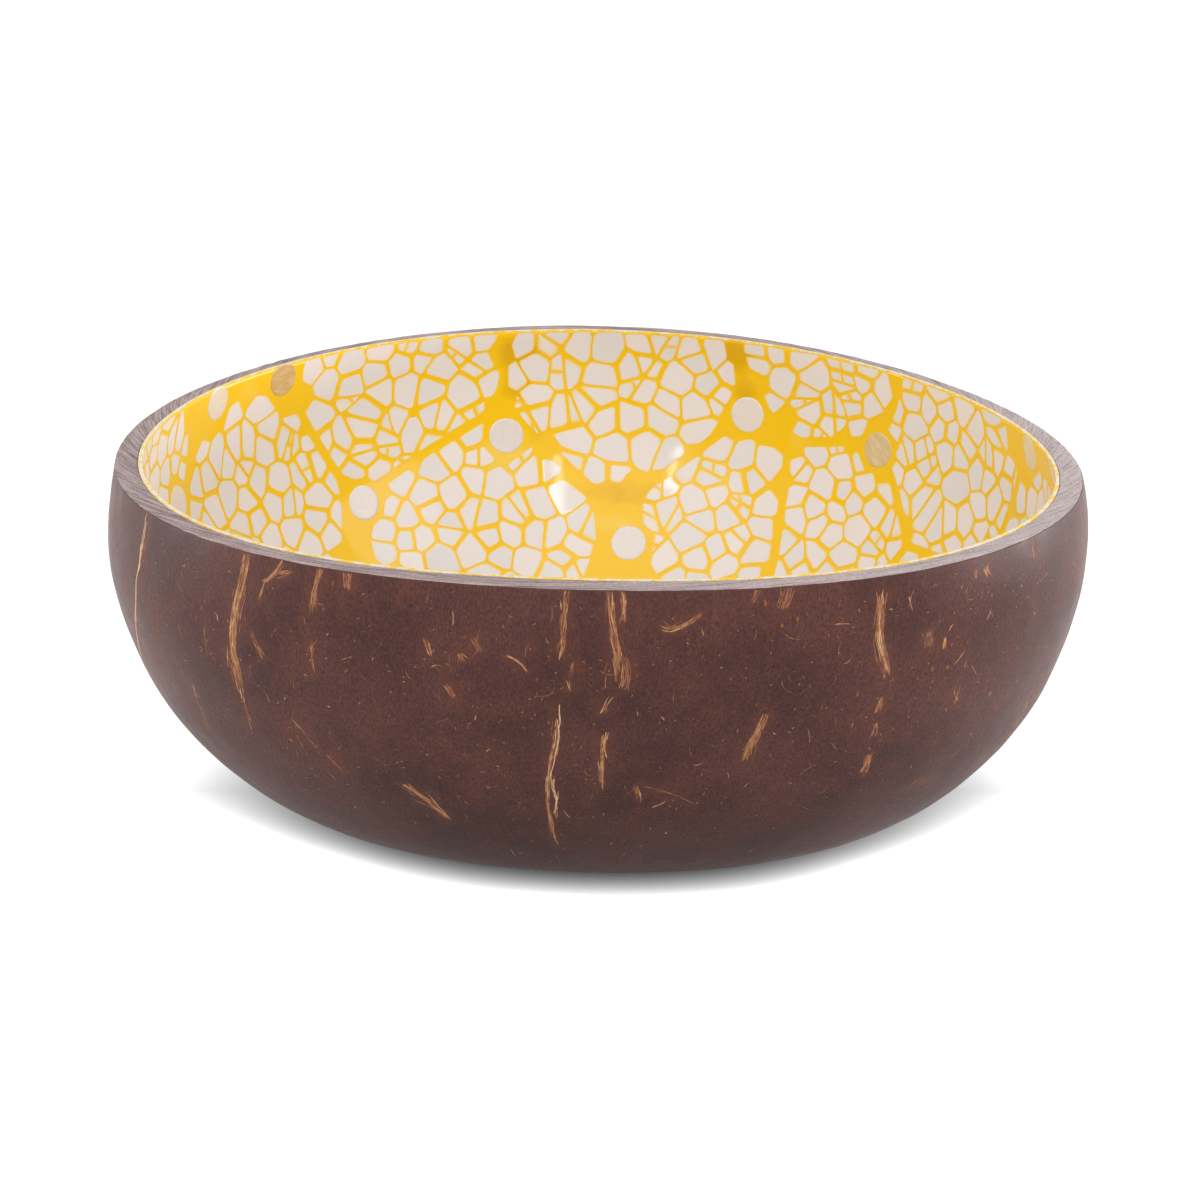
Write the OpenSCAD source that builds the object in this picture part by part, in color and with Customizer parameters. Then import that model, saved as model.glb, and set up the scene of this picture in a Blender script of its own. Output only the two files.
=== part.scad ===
// Bowl made from half a coconut shell, sanded and oiled outside, lacquered inside.
// The yellow lacquer lining carries an inlay of crackled eggshell and round pearl discs.
// Millimetres, +Z up. The origin lies on the table under the middle of the bowl,
// with +X to the right, +Y to the back and the front of the bowl at -Y.

/* [Shell] */
// Width of the bowl across its belly, left to right
bowl_width = 140; // [110:1:170]
// Depth of the bowl across its belly, front to back
bowl_depth = 131; // [104:1:164]
// Mean height of the rim above the table
rim_height = 53.7; // [42:0.1:66]
// How far the widest part of the belly lies below the rim
belly_drop = 6.5; // [5:0.1:12]
// How far the wall draws in between the belly and the rim
rim_draw_in = 0.8; // [0:0.05:2.5]
// Mean diameter of the sanded flat that the bowl stands on
base_flat = 54.5; // [40:0.5:70]
// Mean thickness of the shell wall at the rim
shell_wall = 2.85; // [2:0.05:4]
// Extra thickness of the shell under the floor of the bowl
floor_extra = 0.7; // [0:0.1:2]
// How much higher the rim is at its inner edge than at its outer edge
rim_rise = 0.2; // [0:0.05:0.6]

/* [Natural shape] */
// How much thicker the wall is at the front than on average, and thinner at the back
wall_front = 0.5; // [0:0.05:0.6]
// How much thicker the wall is at the front, back and sides than between them
wall_quarter = 0.35; // [0:0.05:0.5]
// How far the three ridges of the nut stand out of a smooth oval
ridge_swell = 2.3; // [0:0.1:4]
// How much the cut rim tilts, up on the left and down on the right
rim_tilt = 0.74; // [0:0.01:2]
// How much the cut rim rises and falls twice round the bowl
rim_twist = 0.2; // [0:0.01:2]
// How far the flat lies from the middle of the belly, to the right
base_drift_right = 0.3; // [-2:0.1:2]
// How far the flat lies from the middle of the belly, to the back
base_drift_back = 1.4; // [-2:0.1:2]

/* [Lining] */
// Thickness of the yellow lacquer lining
lining_thickness = 0.5; // [0.4:0.05:1]
// Thickness of the bond between the shell and the lining
bond_gap = 0.04; // [0.02:0.01:0.1]

/* [Inlay] */
// Thickness of the eggshell chips
chip_thickness = 0.3; // [0.2:0.05:0.5]
// Spacing of the chips in a field of crackled eggshell
chip_spacing = 4.4; // [4:0.1:7]
// Narrowest crack between two chips
crack_least = 0.26; // [0.25:0.01:0.5]
// Widest crack between two chips
crack_most = 0.8; // [0.5:0.05:1.5]
// Diameter of a full field of crackled eggshell
field_width = 34; // [24:0.5:40]
// Width of the bare lacquer band where two fields meet
field_band = 1.3; // [0.8:0.1:4]
// Height of the bare lacquer left between the inlay and the rim
rim_margin = 0.3; // [0.3:0.05:3]
// Diameter of a pearl disc
pearl_width = 5.3; // [3:0.1:7]
// Thickness of a pearl disc
pearl_thickness = 0.35; // [0.2:0.05:0.6]
// Bare lacquer kept round a pearl disc
pearl_margin = 1; // [0.3:0.05:2]
// Depth of the bedding lacquer between the lining and the inlay
bedding = 0.3; // [0.25:0.01:0.5]

/* [Hidden] */
// Fullness of the profile: a larger side power is squarer, a larger floor power is flatter
side_power = 3.91;
floor_power = 1.715;
// Where the oval, the ridges of the nut and the highs of the rim lie, in degrees from +X
oval_angle = -14;
ridge_angle = -33;
tilt_angle = 184;
twist_angle = -40;

// Facets round the bowl, and rings up the floor, the side and the drawn-in rim
round_steps = 64;
floor_steps = 4;
side_steps = 13;
rim_steps = 2;
// Rows in the table that measures the run of the lining from the centre to the rim
run_steps = 90;

belly_height = rim_height - belly_drop;
belly_radius = (bowl_width + bowl_depth) / 4;
oval = (bowl_width - bowl_depth) / (bowl_width + bowl_depth);
ridge_share = ridge_swell / belly_radius;
base_radius = base_flat / 2;
// Depth that the natural curve of the nut would reach below the belly without the flat
nut_depth = belly_height / pow(1 - pow(base_radius / belly_radius, side_power), 1 / floor_power);
// Angle along the profile at which the natural curve meets the flat
flat_angle = asin(pow(base_radius / belly_radius, side_power / 2));
lining_back = shell_wall + bond_gap;
lining_face = lining_back + lining_thickness;

// Fields of eggshell: angle round the bowl, share of the run from centre to rim, share of full width
field_shares = [
    [86.8, 0.925, 1.04], [119, 0.95, 1.03], [146, 0.79, 1.03], [173, 0.97, 0.93],
    [201, 0.89, 1.03], [232, 0.94, 1.06], [263, 0.88, 1.06], [294, 0.93, 1.04],
    [325, 0.88, 1.06], [350, 0.95, 0.74], [30.5, 0.88, 1.01], [56.5, 1, 0.85],
    [108.5, 0.68, 1.07], [70.4, 0.7, 0.8], [51.5, 0.715, 0.88], [29, 0.59, 0.94],
    [5, 0.8, 0.81], [340, 0.65, 0.98], [309, 0.6, 0.96], [278, 0.63, 0.98],
    [247, 0.6, 0.98], [216, 0.61, 0.98], [187, 0.65, 0.98], [158, 0.56, 0.92],
    [128, 0.5, 0.87], [88, 0.32, 1.02], [28, 0.3, 0.96], [328, 0.31, 0.98],
    [268, 0.3, 0.98], [208, 0.31, 0.98], [150, 0.27, 0.92], [0, 0, 0.81],
];
// Pearl discs: angle round the bowl and share of the run from centre to rim
pearl_shares = [
    [138, 0.977], [152, 0.977], [164, 0.86], [126, 0.756], [103, 0.829], [85.5, 0.652],
    [69, 0.873], [47.2, 0.858], [10.4, 0.966], [186, 0.84], [217, 0.79], [248, 0.78],
    [279.5, 0.805], [309, 0.78], [341, 0.815], [19, 0.73], [357, 0.63], [324, 0.475],
    [293, 0.45], [232, 0.45], [200, 0.47], [172, 0.42], [60, 0.46], [7, 0.43],
    [58, 0.15], [238, 0.155],
];
// Share of the run inside which a field is laid out as on a flat floor
floor_turn_share = 0.5;
// Shares of the chip spacing: how far a chip wanders, how far it may spread, how near its
// neighbours count, and the least chip that is laid
wander_share = 0.38;
spread_share = 1.5;
neighbour_share = 2.8;
least_chip_share = 0.13;
// Share of chips that are left out, so that their neighbours grow into the place
skipped_share = 0.04;
// Share of chips that a hairline crack splits in two
split_share = 0.1;
// Small steps used to measure the slope of the lining
angle_step = 1;
slope_step = chip_spacing / 20;

FIELD_NODES = [for (i = [1 : len(field_shares)]) numbered("eggshell_field_", i)];
PEARL_NODES = [for (i = [1 : len(pearl_shares)]) numbered("pearl_disc_", i)];

// Shape of the bowl

function numbered(name, i) = str(name, i < 10 ? "0" : "", i);
function unit(v) = v / norm(v);

// Height of the rim at angle a
function rim_at(a) = rim_height + rim_tilt * cos(a - tilt_angle)
    + rim_twist * cos(2 * (a - twist_angle));

// How far the outline stands out at angle a, as a share of its mean radius
function swell(a) = 1 + oval * cos(2 * (a - oval_angle)) + ridge_share * cos(3 * (a - ridge_angle));

// Profile of the bowl at depth d under its outer skin, as [radius, height]. Station t runs
// from 0 to 1 across the flat, from 1 to 2 up the side and from 2 to 3 up the rim.
function profile(t, d) = t > 2
    ? [belly_radius - rim_draw_in * pow(t - 2, 2) - d,
       belly_height + (t - 2) * (belly_drop + rim_rise * d / shell_wall)]
    : let (angle = t < 1 ? asin(pow(t * base_radius / belly_radius, side_power / 2))
                         : flat_angle + (90 - flat_angle) * (t - 1),
           out = pow(sin(angle), 2 / side_power),
           down = pow(cos(angle), 2 / floor_power),
           lean = unit([side_power * pow(out, side_power - 1) / belly_radius,
                        -floor_power * pow(down, floor_power - 1) / nut_depth]),
           inward = d > 0 ? d + floor_extra * pow(lean.y, 2) : 0)
      [belly_radius * out, belly_height - nut_depth * down] - inward * lean;

// Point of the bowl at angle a, with the ridges, the drift of the base and the waves of the rim
function placed(p, a) =
    let (rise = (rim_at(a) - belly_height) / belly_drop,
         z = p.y > belly_height ? belly_height + (p.y - belly_height) * rise : p.y,
         drift = pow(max(1 - z / belly_height, 0), 2),
         r = p.x * swell(a))
    [r * cos(a) + base_drift_right * drift, r * sin(a) + base_drift_back * drift, z];

// Extra thickness of the wall at station t and angle a, none in the middle of the floor
function wall_more(t, a) = (wall_front * cos(a + 90) + wall_quarter * cos(4 * a)) * pow(min(t, 2) / 2, 2);

// Point of the outer skin, or of a surface that lies inside it at mean depth d
function skin_point(t, d, a) = placed(profile(t, d > 0 ? d + wall_more(t, a) : 0), a);
function ring(t, d) = [for (k = [0 : round_steps - 1]) skin_point(t, d, 360 * k / round_steps)];

// Stations of the rings, from the edge of the flat to the rim and from the centre to that edge
up_stations = concat([for (i = [0 : side_steps]) 1 + i / side_steps],
                     [for (i = [1 : rim_steps]) 2 + i / rim_steps]);
floor_stations = [for (i = [1 : floor_steps - 1]) i / floor_steps];
inner_stations = concat(floor_stations, up_stations);

function reversed(list) = [for (i = [len(list) - 1 : -1 : 0]) list[i]];

// Faces of a closed skin through a stack of rings, with a point or a flat face at each end
function skin_faces(rings, first_point, last_point) =
    let (n = round_steps, top = (rings - 1) * n)
    concat(
        [for (j = [0 : rings - 2], k = [0 : n - 1])
            let (a = j * n + k, b = j * n + (k + 1) % n)
            each [[a, b + n, b], [a, a + n, b + n]]],
        first_point < 0 ? [[for (k = [0 : n - 1]) k]]
                        : [for (k = [0 : n - 1]) [first_point, k, (k + 1) % n]],
        [for (k = [0 : n - 1]) [last_point, top + (k + 1) % n, top + k]]);

module coconut_shell() {
    rings = concat([for (t = up_stations) ring(t, 0)],
                   [for (t = reversed(inner_stations)) ring(t, shell_wall)]);
    points = concat([for (r = rings) each r], [skin_point(0, shell_wall, 0)]);
    color("#4a2f2a")
        polyhedron(points, skin_faces(len(rings), -1, len(points) - 1), convexity = 6);
}

module lacquer_lining() {
    rings = concat([for (t = inner_stations) ring(t, lining_back)],
                   [for (t = reversed(inner_stations)) ring(t, lining_face)]);
    points = concat([for (r = rings) each r],
                    [skin_point(0, lining_back, 0), skin_point(0, lining_face, 0)]);
    color("#f7c400")
        polyhedron(points, skin_faces(len(rings), len(points) - 2, len(points) - 1), convexity = 6);
}

// Places on the lining

// Repeatable scatter from 0 to 1 for three whole numbers
function scatter(a, b, c) =
    let (v = sin(a * 127.1 + b * 311.7 + c * 74.7) * 43758.5453) v - floor(v);

function run_table(i = 0, run = 0, before = [0, 0]) = i > run_steps ? [] :
    let (p = profile(3 * i / run_steps, lining_face), here = i == 0 ? 0 : run + norm(p - before))
    concat([[here, 3 * i / run_steps]], run_table(i + 1, here, p));
lining_runs = run_table();
lining_run = lining_runs[run_steps][0];

// Point on the lining at a run s from the centre and an angle a
function on_lining(s, a) = skin_point(lookup(s, lining_runs), lining_face, a);

// Seat on the lining: its point, two directions along the lining and the direction out of it
function seat(s, a) =
    let (up = unit(on_lining(s + slope_step, a) - on_lining(s - slope_step, a)),
         along = unit(on_lining(s, a + angle_step) - on_lining(s, a - angle_step)),
         out = unit(cross(up, along)))
    [on_lining(s, a), up, cross(out, up), out, a];

fields = [for (f = field_shares) [on_lining(f[1] * lining_run, f[0]), f[2] * field_width / 2]];
pearls = [for (p = pearl_shares) seat(p[1] * lining_run, p[0])];

// Run and angle of a place in field f that lies u along the lining and v up it from the middle
function field_place(f, u, v) =
    let (a = field_shares[f][0], s = field_shares[f][1] * lining_run)
    field_shares[f][1] < floor_turn_share
        ? [norm([s + v, u]), a + atan2(u, s + v)]
        : [s + v, a + u / profile(lookup(s + v, lining_runs), lining_face).x * 180 / PI];

// Seats of the chips in field f, on a wandering grid that also reaches a row past the field
function chip_seats(f) =
    let (reach = fields[f][1] + 2 * chip_spacing, n = ceil(reach / chip_spacing / sin(60)))
    [for (j = [-n : n], i = [-n : n])
        let (u = (i + j % 2 / 2 + wander_share * (2 * scatter(f, i, j) - 1)) * chip_spacing,
             v = (j * sin(60) + wander_share * (2 * scatter(j, f, i + n) - 1)) * chip_spacing,
             place = field_place(f, u, v))
        if (norm([u, v]) < reach && place[0] < lining_run && scatter(i, j, f + n) > skipped_share)
            seat(place[0], place[1])];

// Part of a convex outline that lies on the near side of a line: points p with p * m <= d
function clipped(outline, m, d) =
    [for (i = [0 : 1 : len(outline) - 1])
        let (p = outline[i], q = outline[(i + 1) % len(outline)], hp = p * m - d, hq = q * m - d)
        each concat(hp <= 0 ? [p] : [], hp * hq < 0 ? [p + (q - p) * hp / (hp - hq)] : [])];
function trimmed(outline, lines, i = 0) =
    i == len(lines) || len(outline) < 3 ? outline
        : trimmed(clipped(outline, lines[i][0], lines[i][1]), lines, i + 1);
function outline_area(o) = len(o) < 3 ? 0
    : [for (i = [0 : len(o) - 1]) cross(o[i], o[(i + 1) % len(o)])] * [for (p = o) 1] / 2;
function middle(o) = [for (p = o) 1] * o / len(o);

// Line in a chip's plane: the chip keeps to the side where direction out, from the chip's
// middle, has gone less than far
function chip_line(chip, out, far) = [[out * chip[1], out * chip[2]], far];

// Lines round chip k of a field: its neighbours, the next fields, the round edge of its own
// field, the pearl discs and the rim
function chip_lines(f, seats, k) =
    let (chip = seats[k], p = chip[0], own = fields[f])
    concat(
        [for (o = [0 : len(seats) - 1])
            let (way = seats[o][0] - p, far = norm(way))
            if (o != k && far < neighbour_share * chip_spacing)
                let (crack = crack_least + (crack_most - crack_least) * pow(scatter(o + k, o * k, f), 2))
                chip_line(chip, way / far, (far - crack) / 2)],
        [for (g = [0 : len(fields) - 1])
            let (way = fields[g][0] - own[0], far = norm(way))
            if (g != f && far < own[1] + fields[g][1] + field_band)
                let (share = (far * far + own[1] * own[1] - fields[g][1] * fields[g][1]) / (2 * far))
                chip_line(chip, way / far, share - field_band / 2 - (p - own[0]) * way / far)],
        norm(p - own[0]) > chip_spacing
            ? [chip_line(chip, unit(p - own[0]), own[1] - norm(p - own[0]))] : [],
        [for (d = pearls)
            let (way = d[0] - p, far = norm(way))
            if (far < pearl_width / 2 + pearl_margin + spread_share * chip_spacing)
                chip_line(chip, way / far, far - pearl_width / 2 - pearl_margin)],
        [chip_line(chip, [0, 0, 1], rim_at(chip[4]) - rim_margin - p.z)]);

// Chips of a field as [seat, outline], some of them split in two by a hairline crack
function chips(f) =
    let (seats = chip_seats(f),
         whole = [for (i = [0 : 7]) spread_share * chip_spacing * [cos(45 * i), sin(45 * i)]],
         least = least_chip_share * chip_spacing * chip_spacing)
    [for (k = [0 : len(seats) - 1])
        if (norm(seats[k][0] - fields[f][0]) < fields[f][1])
            let (outline = trimmed(whole, chip_lines(f, seats, k)),
                 turn = 360 * scatter(k, f, 5),
                 cut = [cos(turn), sin(turn)],
                 at = len(outline) < 3 ? 0 : middle(outline) * cut)
            each [for (o = scatter(f, k, 9) < split_share && outline_area(outline) > 4 * least
                      ? [clipped(outline, cut, at - crack_least / 2),
                         clipped(outline, -cut, -at - crack_least / 2)]
                      : [outline])
                if (outline_area(o) > least) [seats[k], o]]];

// Turns a flat piece on to its seat, raised out of the lining by the bedding
module seated(place) {
    o = place[0] + bedding * place[3];
    multmatrix([for (r = [0 : 2]) [place[1][r], place[2][r], place[3][r], o[r]]])
        children();
}

module eggshell_field(f) {
    color("#e5dad2")
        for (c = chips(f))
            seated(c[0]) linear_extrude(chip_thickness) polygon(c[1]);
}

module pearl_disc(p) {
    color("#d9cfae")
        seated(pearls[p]) cylinder(h = pearl_thickness, d = pearl_width, $fn = 48);
}

coconut_shell();
lacquer_lining();
for (i = [0 : len(FIELD_NODES) - 1])
    eggshell_field(i);
for (i = [0 : len(PEARL_NODES) - 1])
    pearl_disc(i);
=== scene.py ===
import math
import random

import bmesh
import bpy
from mathutils import Matrix, Vector, noise
from mathutils.bvhtree import BVHTree


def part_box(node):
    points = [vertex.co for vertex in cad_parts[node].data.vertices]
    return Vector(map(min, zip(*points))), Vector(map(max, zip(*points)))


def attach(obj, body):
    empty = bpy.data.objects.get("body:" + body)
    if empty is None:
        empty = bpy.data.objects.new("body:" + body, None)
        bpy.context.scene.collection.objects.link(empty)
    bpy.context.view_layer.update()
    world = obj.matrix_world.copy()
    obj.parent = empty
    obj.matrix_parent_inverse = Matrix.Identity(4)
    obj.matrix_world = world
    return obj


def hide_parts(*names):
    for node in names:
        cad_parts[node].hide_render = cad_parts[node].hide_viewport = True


# Bowl cut from half a coconut shell, lined with yellow lacquer that holds crackled eggshell and
# pearl discs. Everything is in metres, in the frame of the CAD model: +Z up, front at -Y.

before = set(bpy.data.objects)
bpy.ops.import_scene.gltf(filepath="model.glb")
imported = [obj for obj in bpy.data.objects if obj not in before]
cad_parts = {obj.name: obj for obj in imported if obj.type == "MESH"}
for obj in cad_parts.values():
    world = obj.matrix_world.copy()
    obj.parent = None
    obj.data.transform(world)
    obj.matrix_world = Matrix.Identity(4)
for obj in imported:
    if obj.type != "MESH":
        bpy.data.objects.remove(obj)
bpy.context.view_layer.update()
mm = 0.001
farOut = 200 * mm
weldDistance = 0.002 * mm
searchStep = 0.05 * mm
tiny = 1e-9
print("frame loaded:", len(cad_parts), "nodes")


# Small tools used by every piece

def linear(hexColour):
    # shaders take linear light, the hex values are sRGB
    parts = [int(hexColour[i:i + 2], 16) / 255 for i in (1, 3, 5)]
    return tuple(c / 12.92 if c <= 0.04045 else ((c + 0.055) / 1.055) ** 2.4 for c in parts) + (1.0,)


def addNode(tree, kind, settings=None, links=None):
    # settings are the node's own properties, its sockets, a ramp's stops or the limits of a range
    node = tree.nodes.new("ShaderNode" + kind)
    for name, value in (settings or {}).items():
        if name == "stops":
            ramp = node.color_ramp.elements
            while len(ramp) < len(value):
                ramp.new(1.0)
            for element, (place, colour) in zip(ramp, value):
                element.position = place
                element.color = linear(colour)
        elif name == "range":
            for socket, limit in zip(node.inputs[1:5], value):
                socket.default_value = limit
        elif isinstance(name, str) and hasattr(node, name):
            setattr(node, name, value)
        else:
            node.inputs[name].default_value = linear(value) if isinstance(value, str) else value
    for name, source in (links or {}).items():
        tree.links.new(source, node.inputs[name])
    return node.outputs


def newMaterial(name):
    material = bpy.data.materials.new(name)
    material.use_nodes = True
    material.node_tree.nodes.clear()
    return material, material.node_tree


def selectOnly(piece):
    bpy.ops.object.select_all(action="DESELECT")
    piece.select_set(True)
    bpy.context.view_layer.objects.active = piece


def startPiece(name, mesh, materials):
    piece = bpy.data.objects.new(name, mesh)
    bpy.context.scene.collection.objects.link(piece)
    piece.data.materials.clear()
    for material in materials:
        piece.data.materials.append(material)
    return piece


def openMesh(piece):
    # edit mode with the whole of one piece selected
    selectOnly(piece)
    bpy.ops.object.mode_set(mode="EDIT")
    bpy.ops.mesh.select_all(action="SELECT")


def pickFaces(piece, test):
    # edit mode of the active piece with only the faces selected that pass the test
    bpy.ops.object.mode_set(mode="EDIT")
    bpy.ops.mesh.select_all(action="DESELECT")
    bpy.ops.object.mode_set(mode="OBJECT")
    for face in piece.data.polygons:
        face.select = test(face)
    bpy.ops.object.mode_set(mode="EDIT")


def copyNode(nodeName, pieceName, materials):
    # own mesh with the CAD node's shape, its loose triangles merged
    piece = startPiece(pieceName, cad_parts[nodeName].data.copy(), materials)
    piece.data.name = pieceName
    openMesh(piece)
    bpy.ops.mesh.customdata_custom_splitnormals_clear()
    bpy.ops.mesh.remove_doubles(threshold=weldDistance)
    bpy.ops.object.mode_set(mode="OBJECT")
    return piece


def applyModifier(piece, kind, settings):
    selectOnly(piece)
    modifier = piece.modifiers.new(kind.title(), kind)
    for name, value in settings.items():
        setattr(modifier, name, value)
    bpy.ops.object.modifier_apply(modifier=modifier.name)


def subdivideSmoothly(piece, levels):
    applyModifier(piece, "SUBSURF", {"levels": levels, "render_levels": levels})


def smoothFaces(piece):
    piece.data.polygons.foreach_set("use_smooth", [True] * len(piece.data.polygons))


def finishPiece(piece, slot, *nodes):
    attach(piece, "root")
    if nodes:
        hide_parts(*nodes)


def treeOf(piece):
    return BVHTree.FromObject(piece, bpy.context.evaluated_depsgraph_get())


def azimuthOf(point):
    return math.degrees(math.atan2(point.y, point.x)) % 360


def roundVector(azimuth, radius):
    angle = math.radians(azimuth)
    return Vector((radius * math.cos(angle), radius * math.sin(angle), 0))


def smoothStep(low, high, value):
    share = min(max((value - low) / (high - low), 0), 1)
    return share * share * (3 - 2 * share)


def pointValues(piece, name, kind, values):
    layer = piece.data.attributes.get(name) or piece.data.attributes.new(name, kind, "POINT")
    flat = [part for value in values for part in value] if kind == "FLOAT_VECTOR" else values
    layer.data.foreach_set("vector" if kind == "FLOAT_VECTOR" else "value", flat)


# Materials

# the clear top coat over lacquer, eggshell and pearl; Roughness belongs to what lies under it
clearCoat = {"IOR": 1.5, "Specular IOR Level": 0.15, "Coat Weight": 0.55, "Coat Roughness": 0.06,
             "Coat IOR": 1.5}


def endMaterial(material, settings, links, height=None, bump=(0, 0)):
    # what every finish ends with: the bump of its height, its surface and the output
    tree = material.node_tree
    if height is not None:
        strength, depth = bump
        links["Normal"] = addNode(tree, "Bump", {"Strength": strength, "Distance": depth},
                                  {"Height": height})[0]
    surface = addNode(tree, "BsdfPrincipled", settings, links)[0]
    addNode(tree, "OutputMaterial", {}, {"Surface": surface})
    return material


def sandedShellMaterial():
    # coconut shell, sanded and oiled: dense dark brown wood with tan fibre ends, a satin skin that
    # goes pale at grazing angles; refractive index of oiled wood 1.47
    look = {
        "dark": "#432420", "brown": "#55302A", "warm": "#683B2B", "haze": "#C9B4B4", "stain": 0.35,
        "upright": (1, 1, 0.6), "bendScale": 900, "bend": (0.7 * mm, 0.7 * mm, 0.7 * mm),
        # painted shade towards the bottom: lowest and highest height, share at the lowest and at the highest
        "lowShade": (2 * mm, 26 * mm, 0.66, 1),
        # noises of the wood: size, detail, roughness
        "patch": (14 * mm, 3, 0.55), "mottle": (4 * mm, 6, 0.62), "grain": (0.3 * mm, 3, 0.7),
        # fibre ends and pits, in some cells only: colour, cell, channel that picks the cell and its
        # least value there, radius, soft edge, strength
        "specks": ("#94562C", 2.1 * mm, 0, 0.6, 0.16, 0.05, 0.8),
        "pits": ("#1A0E0C", 3.2 * mm, 1, 0.55, 0.07, 0.03, 1),
    }
    material, tree = newMaterial("sanded_coconut_shell")
    place = addNode(tree, "TexCoord")["Object"]
    upright = addNode(tree, "Mapping", {"Scale": look["upright"]}, {"Vector": place})[0]
    noises = []
    for name, vector in (("patch", place), ("mottle", upright), ("grain", upright)):
        size, detail, roughness = look[name]
        noises.append(addNode(tree, "TexNoise", {"Scale": 1 / size, "Detail": detail, "Roughness": roughness},
                              {"Vector": vector})[0])
    patch, mottle, grain = noises
    patchShare = addNode(tree, "MapRange", {"range": (0.35, 0.65, 0, 1)}, {"Value": patch})[0]
    colour = addNode(tree, "Mix", {"data_type": "RGBA", 6: look["dark"], 7: look["brown"]},
                     {0: patchShare})[2]
    warmShare = addNode(tree, "MapRange", {"range": (0.5, 0.8, 0, 0.5)}, {"Value": mottle})[0]
    colour = addNode(tree, "Mix", {"data_type": "RGBA", 7: look["warm"]}, {0: warmShare, 6: colour})[2]
    grainShare = addNode(tree, "MapRange", {"range": (0.36, 0.64, 0.6, 1.4)}, {"Value": grain})[0]
    # painted shade: darker towards the crown that the bowl stands on, where the table shades it
    level = addNode(tree, "SeparateXYZ", {}, {0: place})[2]
    lowShadeShare = addNode(tree, "MapRange", {"range": look["lowShade"]}, {"Value": level})[0]
    for share in (grainShare, lowShadeShare):
        colour = addNode(tree, "Mix", {"data_type": "RGBA", "blend_type": "MULTIPLY", 0: 1.0},
                         {6: colour, 7: share})[2]
    # rust-brown stain that spreads round the fibre bundles, painted on the mesh
    stain = addNode(tree, "Attribute", {"attribute_name": "fibreStain"})["Fac"]
    stainShare = addNode(tree, "Math", {"operation": "MULTIPLY", 1: look["stain"]}, {0: stain})[0]
    layers = [(stainShare, look["warm"])]
    bent = addNode(tree, "TexNoise", {"Scale": look["bendScale"], "Detail": 1}, {"Vector": place})["Color"]
    shifted = addNode(tree, "VectorMath", {"operation": "MULTIPLY_ADD", 1: look["bend"]},
                      {0: bent, 2: upright})[0]
    for name in ("specks", "pits"):
        tint, cell, channel, least, radius, soft, strength = look[name]
        cells = addNode(tree, "TexVoronoi", {"Scale": 1 / cell}, {"Vector": shifted})
        pick = addNode(tree, "SeparateColor", {}, {0: cells["Color"]})[channel]
        reach = addNode(tree, "MapRange", {"range": (least, 1, 0, radius)}, {"Value": pick})[0]
        edge = addNode(tree, "Math", {"operation": "SUBTRACT"}, {0: reach, 1: cells["Distance"]})[0]
        share = addNode(tree, "MapRange", {"range": (0, soft, 0, strength)}, {"Value": edge})[0]
        layers.append((share, tint))
    for share, tint in layers:
        colour = addNode(tree, "Mix", {"data_type": "RGBA", 7: tint}, {0: share, 6: colour})[2]
    rough = addNode(tree, "MapRange", {"range": (0.3, 0.7, 0.38, 0.52)}, {"Value": mottle})[0]
    pitShare = layers[-1][0]
    height = addNode(tree, "Math", {"operation": "MULTIPLY_ADD", 1: -0.8}, {0: pitShare, 2: grain})[0]
    return endMaterial(material, {"IOR": 1.47, "Specular IOR Level": 0.27, "Sheen Weight": 0.27,
                                  "Sheen Roughness": 0.35, "Sheen Tint": look["haze"]},
                       {"Base Color": colour, "Roughness": rough}, height, (0.6, 0.05 * mm))


def sawnRimMaterial():
    # end grain of the shell left by the saw, dry and rough: grey-brown, with the thin layers of the
    # shell showing as lines that run round the rim; wood index 1.5
    look = {
        "pale": "#B3A19F", "grey": "#8F7C7B", "brown": "#5E4844", "fibre": "#BE9A74",
        # the dust colour is screened over one side of the rim to make it paler
        "dust": "#8A8484", "fineScale": 2400,
    }
    material, tree = newMaterial("sawn_coconut_rim")
    around = addNode(tree, "Attribute", {"attribute_name": "rimPlace"})["Vector"]
    place = addNode(tree, "TexCoord")["Object"]
    layers = addNode(tree, "TexNoise", {"Scale": 1, "Detail": 5, "Roughness": 0.65}, {"Vector": around})[0]
    fine = addNode(tree, "TexNoise", {"Scale": look["fineScale"], "Detail": 3, "Roughness": 0.7},
                   {"Vector": place})[0]
    stops = [(0.3, look["brown"]), (0.44, look["grey"]), (0.58, look["pale"]), (0.74, look["fibre"])]
    colour = addNode(tree, "ValToRGB", {"stops": stops}, {0: layers})[0]
    # one side of the rim is made paler
    dust = addNode(tree, "Attribute", {"attribute_name": "rimDust"})["Fac"]
    palingShare = addNode(tree, "MapRange", {"range": (0.1, 1, 0, 0.85)}, {"Value": dust})[0]
    colour = addNode(tree, "Mix", {"data_type": "RGBA", "blend_type": "SCREEN", 7: look["dust"]},
                     {0: palingShare, 6: colour})[2]
    fineShare = addNode(tree, "MapRange", {"range": (0.3, 0.7, 0.75, 1.25)}, {"Value": fine})[0]
    colour = addNode(tree, "Mix", {"data_type": "RGBA", "blend_type": "MULTIPLY", 0: 1.0},
                     {6: colour, 7: fineShare})[2]
    height = addNode(tree, "Math", {"operation": "ADD"}, {0: layers, 1: fine})[0]
    return endMaterial(material, {"IOR": 1.5, "Roughness": 0.7}, {"Base Color": colour},
                       height, (0.8, 0.18 * mm))


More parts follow.
